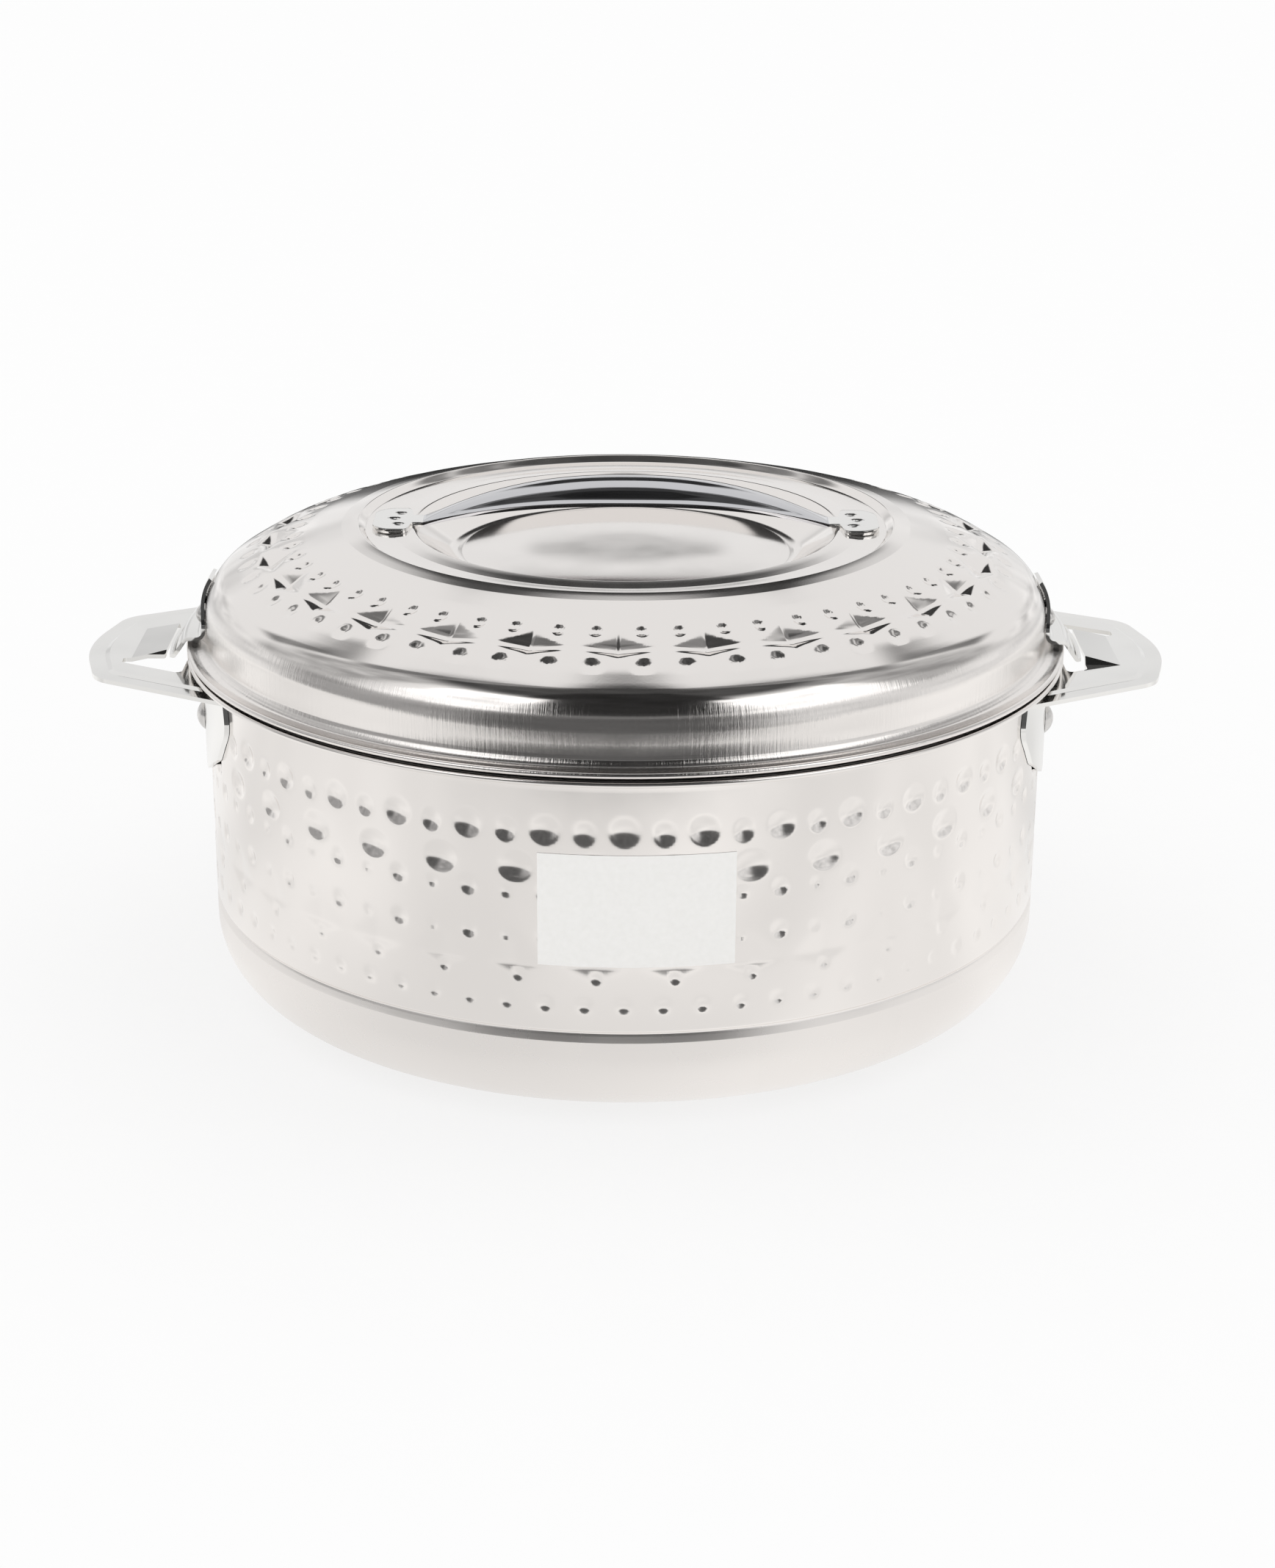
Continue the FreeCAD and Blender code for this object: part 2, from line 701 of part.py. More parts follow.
def handle_tab():
    """Flat foot of the bow on the +X side, with its spot welds."""
    start = bow_span - bow_waist / 2
    outline = [(start, -bow_waist, 0),
               (bow_span + bow_waist / 4, -tab_half_width, tab_corner / 2),
               (tab_end, -tab_half_width, tab_corner),
               (tab_end, tab_half_width, tab_corner),
               (bow_span + bow_waist / 4, tab_half_width, tab_corner / 2),
               (start, bow_waist, 0)]
    tab = slab(outline, plan(tab_top - tab_thickness), AXIS * tab_thickness)
    middle = (bow_span + tab_end) / 2
    welds = []
    for step in (-1, 0, 1):
        point = V(middle + weld_bow * (1 - abs(step)), step * weld_spacing, tab_top)
        welds.append(Part.makeCone(0, weld_radius, weld_depth, point - AXIS * weld_depth, AXIS))
    return tab.cut(welds)


def lid_handle():
    bow = Part.makeLoft([bow_section(share / bow_steps) for share in range(-bow_steps, bow_steps + 1)],
                        True, False)
    return bow.fuse(both_sides(handle_tab())).removeSplitter()


# ---- all nodes ----
def nodes():
    handle, backing, rivets = pot_handle(), handle_backing(), handle_rivets()
    clip, clip_strip, clip_pins = lid_clip(), clip_backing(), clip_rivets()
    return {
        "outer_shell": outer_shell(),
        "inner_bowl": inner_bowl(),
        "body_insulation": body_insulation(),
        "base_plug": plug(V(0, 0, foot_recess), AXIS),
        "right_handle": handle,
        "left_handle": opposite(handle),
        "right_handle_rivets": rivets,
        "left_handle_rivets": opposite(rivets),
        "right_handle_backing": backing,
        "left_handle_backing": opposite(backing),
        "front_label": front_label(),
        "lid_outer_shell": lid_outer_shell(),
        "lid_inner_liner": lid_inner_liner(),
        "lid_insulation": lid_insulation(),
        "lid_fill_plug": plug(V(0, 0, rim(liner_height)), AXIS),
        "lid_handle": lid_handle(),
        "right_lid_clip": clip,
        "left_lid_clip": opposite(clip),
        "right_clip_rivets": clip_pins,
        "left_clip_rivets": opposite(clip_pins),
        "right_clip_backing": clip_strip,
        "left_clip_backing": opposite(clip_strip),
    }


os.makedirs("parts", exist_ok=True)
for name, shape in nodes().items():
    box = shape.BoundBox
    print(f"{name}: {len(shape.Solids)} solid, {shape.Volume:.0f} mm3, valid {shape.isValid()},",
          f"x {box.XMin:.1f} {box.XMax:.1f} y {box.YMin:.1f} {box.YMax:.1f} z {box.ZMin:.1f} {box.ZMax:.1f}")
    shape.exportStep(f"parts/{name}.step")
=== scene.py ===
import math

import bpy
from mathutils import Matrix, Vector


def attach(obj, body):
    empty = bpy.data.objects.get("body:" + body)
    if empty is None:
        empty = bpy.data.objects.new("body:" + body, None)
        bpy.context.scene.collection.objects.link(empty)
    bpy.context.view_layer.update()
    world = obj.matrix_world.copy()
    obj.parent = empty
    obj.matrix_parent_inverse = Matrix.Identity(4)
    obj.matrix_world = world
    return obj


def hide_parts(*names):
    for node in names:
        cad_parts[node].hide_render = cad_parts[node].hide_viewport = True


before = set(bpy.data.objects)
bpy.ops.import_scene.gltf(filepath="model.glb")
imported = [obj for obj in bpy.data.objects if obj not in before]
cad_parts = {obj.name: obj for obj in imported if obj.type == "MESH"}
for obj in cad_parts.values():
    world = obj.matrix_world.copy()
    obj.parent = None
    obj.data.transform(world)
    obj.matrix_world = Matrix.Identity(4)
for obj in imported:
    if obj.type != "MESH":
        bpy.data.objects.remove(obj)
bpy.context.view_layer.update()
bpy.ops.object.select_all(action="DESELECT")


# small helpers
def mm(value):
    return value / 1000


weld = 0.00002  # vertices closer than this, in m, become one

# sRGB hex to linear colour
def tone(hexCode):
    parts = [int(hexCode[i:i + 2], 16) / 255 for i in (0, 2, 4)]
    return [p / 12.92 if p <= 0.04045 else ((p + 0.055) / 1.055) ** 2.4 for p in parts] + [1]


# one shader node; inputs are plain values or the output sockets of other nodes
def addNode(tree, kind, inputs=None, **settings):
    node = tree.nodes.new(kind)
    for name, value in settings.items():
        setattr(node, name, value)
    for key, value in (inputs or {}).items():
        if isinstance(value, bpy.types.NodeSocket):
            tree.links.new(value, node.inputs[key])
        else:
            node.inputs[key].default_value = value
    return node


def newMaterial(name):
    material = bpy.data.materials.new(name)
    material.use_nodes = True
    tree = material.node_tree
    tree.nodes.clear()
    return material, tree


def setMode(mode):
    bpy.ops.object.mode_set(mode=mode)


# only this piece is selected and active
def work(piece):
    bpy.ops.object.select_all(action="DESELECT")
    piece.select_set(True)
    bpy.context.view_layer.objects.active = piece


# an outline of (radius, height) points in mm from corners (radius, height, bend radius, steps in
# the bend, run), where run is the longest straight step
def bentOutline(corners):
    result = [corners[0][:2]]
    for i in range(1, len(corners)):
        r, z, bend, steps, run = corners[i]
        here = Vector((r, z))
        if bend and i < len(corners) - 1:
            before = (here - Vector(corners[i - 1][:2])).normalized()
            after = (Vector(corners[i + 1][:2]) - here).normalized()
            turn = before.angle_signed(after)
            reach = bend * math.tan(abs(turn) / 2)
            start = here - before * reach
            side = Vector((before.y, -before.x)) * math.copysign(1, turn)
            centre = start + side * bend
            arc = []
            for k in range(steps + 1):
                spoke = -side
                angle = -turn * k / steps
                turned = Vector((spoke.x * math.cos(angle) - spoke.y * math.sin(angle),
                                 spoke.x * math.sin(angle) + spoke.y * math.cos(angle)))
                arc.append(centre + turned * bend)
        else:
            arc = [here]
        begin = Vector(result[-1])
        pieces = max(1, math.ceil((arc[0] - begin).length / run))
        for k in range(1, pieces + 1):
            result.append(tuple(begin.lerp(arc[0], k / pieces)))
        result += [tuple(point) for point in arc[1:]]
    return result


# points round a rolled edge, from one angle to another in degrees
def rolledEdge(centre, start, end, steps):
    radius = 0.8  # mm, half the height of the roll
    points = []
    for k in range(steps + 1):
        angle = math.radians(start + (end - start) * k / steps)
        points.append((centre[0] + radius * math.cos(angle), centre[1] + radius * math.sin(angle)))
    return points


# a line of vertices, extruded point by point through (x, y, z) points in mm
def drawLine(name, points):
    bpy.ops.mesh.primitive_plane_add(size=mm(1))
    piece = bpy.context.object
    piece.name = name
    setMode("EDIT")
    bpy.ops.mesh.select_mode(type="VERT")
    bpy.ops.mesh.merge(type="CENTER")
    bpy.ops.transform.translate(value=[mm(place) for place in points[0]])
    for a, b in zip(points, points[1:]):
        bpy.ops.mesh.extrude_region_move(
            TRANSFORM_OT_translate={"value": [mm(there - here) for here, there in zip(a, b)]})
    return piece


def drawOutline(name, outline):
    return drawLine(name, [(radius, 0, height) for radius, height in outline])


def turnOutline(angle, steps):
    bpy.ops.mesh.select_all(action="SELECT")
    bpy.ops.mesh.spin(steps=steps, angle=math.radians(angle), center=(0, 0, 0), axis=(0, 0, 1))


def closeTurn():
    bpy.ops.mesh.select_all(action="SELECT")
    bpy.ops.mesh.remove_doubles(threshold=weld)
    bpy.ops.mesh.normals_make_consistent(inside=False)


# the panel copied all the way round and joined, then turned until its middle is at an angle
def repeatPanel(count, middle, startAngle):
    bpy.ops.mesh.select_all(action="SELECT")
    bpy.ops.mesh.spin(steps=count - 1, angle=math.radians(360 / count * (count - 1)),
                      center=(0, 0, 0), axis=(0, 0, 1), dupli=True)
    closeTurn()
    turn = math.radians(middle) - math.radians(180 / count) - startAngle
    bpy.ops.transform.rotate(value=-turn, orient_axis="Z", center_override=(0, 0, 0))


# a hammered dent: the vertices inside its outline move inward, with a soft lip; a ball leaves
# a round hollow and a facet a shallow four-sided one, which no falloff of a move gives
def press(piece, centre, outward, across, dent):
    lowerShare = 0.48  # how far a facet's lower side reaches, against its upper one
    lipSoftness = 0.012
    widest = 1.7  # nothing farther out than this many half widths moves
    shape, halfWidth, halfHeight, depth = dent
    upward = outward.cross(across)
    if upward.z < 0:
        upward = -upward
    for vertex in piece.data.vertices:
        offset = vertex.co - centre
        if offset.length > mm(widest * max(halfWidth, halfHeight)):
            continue
        x = abs(offset.dot(across)) / mm(halfWidth)
        y = offset.dot(upward) / mm(halfHeight)
        # a facet's deepest line lies low, so its lower side is the short and steep one
        y = -y / lowerShare if shape == "facet" and y < 0 else abs(y)
        inside = 1 - (x + y if shape == "facet" else x * x + y * y)
        vertex.co -= outward * mm(depth) * (inside + math.sqrt(inside * inside + lipSoftness)) / 2


def finishPiece(piece, body, replaced=()):
    setMode("OBJECT")
    work(piece)
    bpy.ops.object.shade_smooth()
    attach(piece, body)
    if replaced:
        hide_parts(*replaced)


# hammered wall of the pot
wall = {"radius": 119.5, "groove": 118.9, "grooveHeight": 26.5, "rim": 98.0, "step": 96.25,
        "rollStart": 123.31, "roll": (124.2, 96.8), "repeats": 37, "columns": 28, "turn": -90.0,
        # height from the rim, share of the period, and the dent as shape, half width, half height
        # and depth
        "dents": [(-15.6, 0.5, ("ball", 3.8, 3.6, 0.9)), (-16.2, 0.0, ("ball", 2.7, 3.0, 0.7)),
                  (-26.0, 0.12, ("ball", 4.7, 3.9, 1.0)),
                  (-32.6, 0.5, ("ball", 2.4, 2.5, 0.6)), (-33.2, 0.0, ("ball", 1.5, 1.5, 0.4)),
                  (-44.6, 0.5, ("ball", 2.4, 2.5, 0.6)), (-45.2, 0.0, ("ball", 1.5, 1.5, 0.4)),
                  (-52.5, 0.12, ("facet", 9.0, 8.5, 0.6)), (-56.0, 0.15, ("ball", 1.7, 1.5, 0.45)),
                  (-63.5, 0.5, ("ball", 2.1, 2.1, 0.5)), (-63.5, 0.0, ("ball", 2.1, 2.1, 0.5))]}
outline = bentOutline([(wall["groove"], wall["grooveHeight"], 0, 1, 1),
                       (wall["groove"], 26.6, 0, 1, 1),
                       (wall["radius"], 27.6, 0.5, 3, 0.8),
                       (wall["radius"], 87.2, 0, 1, 0.8),
                       (wall["radius"], wall["step"], 1.5, 5, 2.5),
                       (wall["rollStart"], wall["step"], 0, 1, 1.5)])
# finer outside, where the roll shows, than over the top
outline += rolledEdge(wall["roll"], -129, 50, 10)[1:]
outline += rolledEdge(wall["roll"], 50, 141, 3)[1:]
hammeredWall = drawOutline("hammeredWall", outline)
period = math.radians(360 / wall["repeats"])
turnOutline(360 / wall["repeats"], wall["columns"])
setMode("OBJECT")
startAngle = min(math.atan2(v.co.y, v.co.x) for v in hammeredWall.data.vertices)
for drop, share, dent in wall["dents"]:
    for lap in (-1, 0, 1):
        angle = startAngle + period * (share + lap)
        outward = Vector((math.cos(angle), math.sin(angle), 0))
        centre = outward * mm(wall["radius"]) + Vector((0, 0, mm(wall["rim"] + drop)))
        press(hammeredWall, centre, outward, Vector((-outward.y, outward.x, 0)), dent)
work(hammeredWall)
setMode("EDIT")
repeatPanel(wall["repeats"], wall["turn"], startAngle)
finishPiece(hammeredWall, "pot", ["outer_shell"])
print("wall", len(hammeredWall.data.vertices), len(hammeredWall.data.polygons))

# base cup: its middle is raised, so that it stands on a ring
cup = {"hole": 7.0, "raised": 2.5, "raisedTo": 90.0, "ringFrom": 93.0, "footBend": 19.5,
       "top": 24.1, "tuck": (118.4, 27.2), "columns": 256}
outline = bentOutline([(cup["hole"], cup["raised"], 0, 1, 1),
                       (cup["raisedTo"], cup["raised"], 1.5, 4, 10),
                       (cup["ringFrom"], 0.0, 1.5, 4, 10),
                       (wall["radius"], 0.0, cup["footBend"], 20, 6),
                       (wall["radius"], cup["top"], 0.8, 4, 3),
                       (wall["groove"], wall["grooveHeight"], 0, 1, 1),
                       (*cup["tuck"], 0, 1, 1)])
baseCup = drawOutline("baseCup", outline)
turnOutline(360, cup["columns"])
closeTurn()
finishPiece(baseCup, "pot", ["outer_shell"])
print("base cup")

# hammered lid
lid = {"radius": 119.3, "rollStart": 123.31, "edge": 99.75, "roll": (124.2, 99.2),
       "repeats": 28, "columns": 30, "turn": -91.0,
       # the slope that the dents stand on lies outside this radius and above this height
       "slopeFrom": 81, "slopeAbove": 110,
       # radius, share of the period, and the dent
       "dents": [(101.4, 0.5, ("facet", 11.8, 7.6, 2.0)),
                 (94.6, 0.23, ("ball", 2.2, 2.6, 0.8)), (94.6, 0.77, ("ball", 2.2, 2.6, 0.8)),
                 (107.0, 0.23, ("ball", 3.2, 2.5, 0.22)), (107.0, 0.77, ("ball", 3.2, 2.5, 0.22)),
                 (107.2, 0.23, ("ball", 2.1, 2.1, 0.45)), (107.2, 0.77, ("ball", 2.1, 2.1, 0.45))]}
outline = bentOutline([(0.0, 124.1, 0, 1, 1),          # floor of the dish
                       (26.75, 124.1, 600.0, 8, 9),
                       (48.5, 123.1, 7.0, 10, 9),
                       (60.2, 131.1, 1.5, 8, 3),       # wall of the dish
                       (66.3, 130.7, 1.0, 3, 5),       # flat ring that carries the bow
                       (73.7, 130.7, 0.4, 4, 8),
                       (75.8, 132.5, 0.6, 8, 1),       # crest
                       (80.5, 131.55, 5.0, 5, 3.5),
                       (90.5, 128.95, 0, 1, 3.5),      # hammered band
                       (103.0, 125.1, 60.0, 12, 0.75),
                       (110.5, 120.5, 0, 1, 0.8),
                       (lid["radius"], 115.1, 12.0, 14, 2),  # shoulder
                       (lid["radius"], lid["edge"], 3.0, 6, 4),
                       (lid["rollStart"], lid["edge"], 0, 1, 1)])
lidHeights = [(r, z) for r, z in outline if r > lid["slopeFrom"] and z > lid["slopeAbove"]]
outline += rolledEdge(lid["roll"], 141, -141, 14)[1:]
hammeredLid = drawOutline("hammeredLid", outline)
period = math.radians(360 / lid["repeats"])
turnOutline(360 / lid["repeats"], lid["columns"])
setMode("OBJECT")
# the vertices at the middle have no angle
startAngle = min(math.atan2(v.co.y, v.co.x) for v in hammeredLid.data.vertices
                 if v.co.xy.length > mm(10))
for radius, share, dent in lid["dents"]:
    before, after = [(a, b) for a, b in zip(lidHeights, lidHeights[1:]) if a[0] <= radius < b[0]][0]
    slope = math.atan2(before[1] - after[1], after[0] - before[0])
    height = before[1] - math.tan(slope) * (radius - before[0])
    for lap in (-1, 0, 1):
        angle = startAngle + period * (share + lap)
        radial = Vector((math.cos(angle), math.sin(angle), 0))
        outward = radial * math.sin(slope) + Vector((0, 0, math.cos(slope)))
        press(hammeredLid, radial * mm(radius) + Vector((0, 0, mm(height))), outward,
              Vector((-radial.y, radial.x, 0)), dent)
work(hammeredLid)
setMode("EDIT")
repeatPanel(lid["repeats"], lid["turn"], startAngle)
finishPiece(hammeredLid, "lid_cover", ["lid_outer_shell"])
print("lid", len(hammeredLid.data.vertices), len(hammeredLid.data.polygons))

# arched handle of the lid
bow = {"span": 57.5, "foot": 131.95, "rise": 12.6, "half": 11.1, "droop": 5.0, "waist": 4.0,
       "sheet": 1.25, "columns": 32, "rows": 30, "flat": 0.004, "edgeRound": 0.3,
       # how the arch falls, narrows and closes towards its feet
       "fallPower": 2.3, "narrowPower": 2.5, "closePower": 2, "spacing": 1.35,
       # the section across: half width of the flat back, and the radii of the back, the round side
       # and the lip, as shares of the half width, and the steepest slope
       "backHalf": 0.35, "back": 1.6, "side": 0.75, "lip": 0.338, "steepest": 52,
       # the tab: distance from the middle and half width
       "tab": [(60.4, 4.0), (60.8, 6.2), (61.2, 9.0), (61.7, 11.0), (62.4, 11.8), (63.2, 11.8),
               (64.0, 11.8), (64.8, 11.8), (65.6, 11.8), (66.4, 11.7),
               (67.3, 11.5), (68.3, 11.0), (69.3, 10.3), (70.2, 9.3), (70.9, 8.1), (71.35, 6.9),
               (71.5, 6.0)],
       "welds": [(64.2, -6.0), (65.6, 0.0), (64.2, 6.0)], "weldDent": ("ball", 1.3, 1.3, 0.5)}


# how far the section has fallen at a share of the way out to its edge: a round back whose edge
# flares out again
def bowDrop(u):
    u = abs(u)
    back, side, lip, backHalf = bow["back"], bow["side"], bow["lip"], bow["backHalf"]
    first = math.asin(backHalf / back)
    steepest = math.radians(bow["steepest"])
    sideStart = backHalf - side * math.sin(first)
    lipStart = sideStart + side * math.sin(steepest)
    drop = back * (1 - math.cos(first))
    if u < backHalf:
        return back * (1 - math.cos(math.asin(u / back)))
    if u < lipStart:
        return drop + side * (math.cos(first) - math.cos(math.asin((u - sideStart) / side)))
    turn = math.asin(math.sin(steepest) - (u - lipStart) / lip)
    drop += side * (math.cos(first) - math.cos(steepest))
    return drop + lip * (math.cos(turn) - math.cos(steepest))


columns = bow["columns"]
shares = [2 * k / columns - 1 for k in range(columns + 1)]
crown = bow["foot"] + bow["rise"]
lidBow = drawLine("lidBow", [(0, u * bow["half"], crown - bow["droop"] * bowDrop(u) / bowDrop(1))
                             for u in shares])
bpy.ops.mesh.select_all(action="SELECT")
# the section is carried from the crown to the end of the tab; each station is its distance from
# the middle, its height, its half width and how much of the droop is left
stations = []
for k in range(bow["rows"] + 1):
    share = 1 - (1 - k / bow["rows"]) ** bow["spacing"]
    height = bow["foot"] + bow["rise"] * (1 - share ** bow["fallPower"])
    half = bow["waist"] + (bow["half"] - bow["waist"]) * (1 - share ** bow["narrowPower"])
    droop = max(1 - share ** bow["closePower"], bow["flat"])
    stations.append((share * bow["span"], height, half, droop))
stations += [(x, bow["foot"], half, bow["flat"]) for x, half in bow["tab"]]
for a, b in zip(stations, stations[1:]):
    bpy.ops.mesh.extrude_region_move(
        TRANSFORM_OT_translate={"value": (mm(b[0] - a[0]), 0, mm(b[1] - a[1]))})
    bpy.ops.transform.resize(value=(1, b[2] / a[2], b[3] / a[3]),
                             center_override=(mm(b[0]), 0, mm(b[1])))
setMode("OBJECT")
for x, y in bow["welds"]:
    press(lidBow, Vector((mm(x), mm(y), mm(bow["foot"]))), Vector((0, 0, 1)), Vector((0, 1, 0)),
          bow["weldDent"])
mirror = lidBow.modifiers.new("otherHalf", "MIRROR")
mirror.use_axis = (True, False, False)
mirror.merge_threshold = weld
bpy.ops.object.modifier_apply(modifier="otherHalf")
setMode("EDIT")
bpy.ops.mesh.select_all(action="SELECT")
bpy.ops.mesh.normals_make_consistent(inside=False)
setMode("OBJECT")
upFaces = sum(1 if face.normal.z > 0 else -1 for face in lidBow.data.polygons)
if upFaces < 0:
    setMode("EDIT")
    bpy.ops.mesh.flip_normals()
    setMode("OBJECT")
thickness = lidBow.modifiers.new("sheetThickness", "SOLIDIFY")
thickness.thickness = mm(bow["sheet"])
thickness.offset = -1
bpy.ops.object.modifier_apply(modifier="sheetThickness")
rounding = lidBow.modifiers.new("softEdges", "BEVEL")
rounding.width = mm(bow["edgeRound"])
rounding.segments = 2
rounding.angle_limit = math.radians(50)
bpy.ops.object.modifier_apply(modifier="softEdges")
finishPiece(lidBow, "lid_cover", ["lid_handle"])
print("bow", len(lidBow.data.polygons))


# noise scales, in cycles to the metre; real grain and brushing are finer than a tenth of a mm, too
# fine to show, so both are drawn coarser
patterns = {"cloud": 55.0,    # patches of wear about 18 mm across
            "grain": 1400.0,  # specks about 0.7 mm across
            # streaks about 0.9 mm apart round the wall and 20 mm long
            "streak": 1100.0, "streakAround": 0.12, "streakDown": 0.045,
            "brushedRoughness": 0.06}


# metal with a fine grain, cloudy wear and, from one radius to another (in mm), streaks of
# brushing that run down the turned surface
def steel(name, colour, roughness, cloudy, grain, streak=0.0, streakFrom=(0, 1)):
    material, tree = newMaterial(name)
    place = addNode(tree, "ShaderNodeTexCoord").outputs["Object"]
    cloud = addNode(tree, "ShaderNodeTexNoise", {"Vector": place, "Scale": patterns["cloud"],
                                                 "Detail": 5.0})
    worn = addNode(tree, "ShaderNodeMapRange", {"Value": cloud.outputs["Fac"], "From Min": 0.35,
                                                "From Max": 0.7, "To Min": roughness,
                                                "To Max": roughness + cloudy})
    speck = addNode(tree, "ShaderNodeTexNoise", {"Vector": place, "Scale": patterns["grain"],
                                                 "Detail": 2.0})
    relief = addNode(tree, "ShaderNodeMath", {0: speck.outputs["Fac"], 1: grain},
                     operation="MULTIPLY")
    finish = worn.outputs[0]
    height = relief.outputs[0]
    if streak:
        axes = addNode(tree, "ShaderNodeSeparateXYZ", {"Vector": place})
        turn = addNode(tree, "ShaderNodeMath", {0: axes.outputs["Y"], 1: axes.outputs["X"]},
                       operation="ARCTAN2")
        along = addNode(tree, "ShaderNodeMath", {0: turn.outputs[0], 1: patterns["streakAround"]},
                        operation="MULTIPLY")
        down = addNode(tree, "ShaderNodeMath", {0: axes.outputs["Z"], 1: patterns["streakDown"]},
                       operation="MULTIPLY")
        flat = addNode(tree, "ShaderNodeCombineXYZ", {"X": along.outputs[0], "Y": down.outputs[0]})
        hair = addNode(tree, "ShaderNodeTexNoise", {"Vector": flat.outputs[0],
                                                    "Scale": patterns["streak"], "Detail": 4.0,
                                                    "Roughness": 0.7})
        level = addNode(tree, "ShaderNodeCombineXYZ", {"X": axes.outputs["X"],
                                                       "Y": axes.outputs["Y"]})
        radius = addNode(tree, "ShaderNodeVectorMath", {0: level.outputs[0]}, operation="LENGTH")
        zone = addNode(tree, "ShaderNodeMapRange", {"Value": radius.outputs["Value"],
                                                    "From Min": mm(streakFrom[0]),
                                                    "From Max": mm(streakFrom[1])},
                       interpolation_type="SMOOTHSTEP")
        brushed = addNode(tree, "ShaderNodeMath", {0: hair.outputs["Fac"], 1: zone.outputs[0]},
                          operation="MULTIPLY")
        brushed = addNode(tree, "ShaderNodeMath", {0: brushed.outputs[0], 1: streak},
                          operation="MULTIPLY")
        height = addNode(tree, "ShaderNodeMath", {0: height, 1: brushed.outputs[0]},
                         operation="ADD").outputs[0]
        extra = addNode(tree, "ShaderNodeMath", {0: zone.outputs[0],
                                                 1: patterns["brushedRoughness"]},
                        operation="MULTIPLY")
        finish = addNode(tree, "ShaderNodeMath", {0: finish, 1: extra.outputs[0]},
                         operation="ADD").outputs[0]
    bump = addNode(tree, "ShaderNodeBump", {"Height": height, "Strength": 1.0, "Distance": mm(1)})
    shader = addNode(tree, "ShaderNodeBsdfPrincipled", {"Base Color": tone(colour), "Metallic": 1.0,
                                                        "Roughness": finish,
                                                        "Normal": bump.outputs[0]})
    addNode(tree, "ShaderNodeOutputMaterial", {0: shader.outputs[0]})
    return material


# non-metal with a mottled tone and a fine relief
def dull(name, colour, other, roughness, scale, bumpHeight):
    material, tree = newMaterial(name)
    place = addNode(tree, "ShaderNodeTexCoord").outputs["Object"]
    speckle = addNode(tree, "ShaderNodeTexNoise", {"Vector": place, "Scale": scale, "Detail": 4.0})
    mix = addNode(tree, "ShaderNodeMix", {"Factor": speckle.outputs["Fac"], 6: tone(colour),
                                          7: tone(other)}, data_type="RGBA")
    bump = addNode(tree, "ShaderNodeBump", {"Height": speckle.outputs["Fac"], "Strength": 0.3,
                                            "Distance": mm(bumpHeight)})
    shader = addNode(tree, "ShaderNodeBsdfPrincipled", {"Base Color": mix.outputs[2],
                                                        "Roughness": roughness,
                                                        "Normal": bump.outputs[0]})
    addNode(tree, "ShaderNodeOutputMaterial", {0: shader.outputs[0]})
    return material


# stainless sheet struck by a punch and mirror-polished: each dent gives a sharp dark or light spark
hammeredSteel = steel("polishedHammeredSteel", "F3EFEC", 0.07, 0.05, 0.0015, 0.008, (90, 119))
# the lid's sheet is buffed: a mirror on top, with brushed lines only down its side
lidSteel = steel("buffedLidSteel", "F2EEEB", 0.07, 0.04, 0.0015, 0.08, (116.5, 119))
# spun and satined: reflections are soft and broad, with no sparks
baseSteel = steel("satinBaseSteel", "F2EEEB", 0.2, 0.04, 0.0006, 0.01, (60, 110))
# bent sheet with a mirror polish, given painted shade: its colour is darker and cooler than the
# lid's, standing in for the darker reflections along the arch, so the arch stands out
bowSteelPaintedShade = steel("polishedBowSteelPaintedShade", "D0D0D3", 0.06, 0.04, 0.0015)
# pressed sheet, polished after pressing: clear reflections on flat faces
pressedSteel = steel("polishedPressedSteel", "EEEDEB", 0.07, 0.04, 0.0015)
# headed wire, tumbled: a dull shine without a clear picture in it
rivetSteel = steel("tumbledRivetSteel", "DAD8D6", 0.22, 0.08, 0.003)
# spun inside surfaces: an even, milky grey
satinSteel = steel("satinSpunSteel", "DEDCDA", 0.28, 0.08, 0.003)
# sheet as it leaves the rolls: grey and nearly matt
plainSteel = steel("millFinishSteel", "BDBBB8", 0.38, 0.1, 0.004)
# foamed in place: pale yellow and matt, with fine cells
foam = dull("rigidPolyurethaneFoam", "E6D9A8", "D2BF86", 0.9, 500, 0.3)
# moulded: black with a slight sheen
plugPlastic = dull("mouldedPolyethylene", "2B2B2C", "363637", 0.5, 300, 0.02)
# coated paper: white and smooth, with a faint mottle
labelPaper = dull("coatedLabelPaper", "F4F3F1", "ECEBE8", 0.45, 700, 0.01)
finishes = {"hammered_steel": hammeredSteel, "pressed_steel": pressedSteel,
            "rivet_steel": rivetSteel, "satin_steel": satinSteel, "plain_steel": plainSteel,
            "foam": foam, "plug_plastic": plugPlastic, "paper_label": labelPaper}
nodeSlots = {"hammered_steel": ["outer_shell", "lid_outer_shell"],
             "satin_steel": ["inner_bowl", "lid_inner_liner"],
             "pressed_steel": ["right_handle", "left_handle", "right_lid_clip", "left_lid_clip",
                               "lid_handle"],
             "rivet_steel": ["right_handle_rivets", "left_handle_rivets", "right_clip_rivets",
                             "left_clip_rivets"],
             "plain_steel": ["right_handle_backing", "left_handle_backing", "right_clip_backing",
                             "left_clip_backing"],
             "foam": ["body_insulation", "lid_insulation"],
             "plug_plastic": ["base_plug", "lid_fill_plug"],
             "paper_label": ["front_label"]}
for slotName, names in nodeSlots.items():
    for nodeName in names:
        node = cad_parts[nodeName]
        node.data.materials.clear()
        node.data.materials.append(finishes[slotName])
for piece, finish in ((hammeredWall, hammeredSteel), (baseCup, baseSteel), (hammeredLid, lidSteel),
                      (lidBow, bowSteelPaintedShade)):
    piece.data.materials.append(finish)
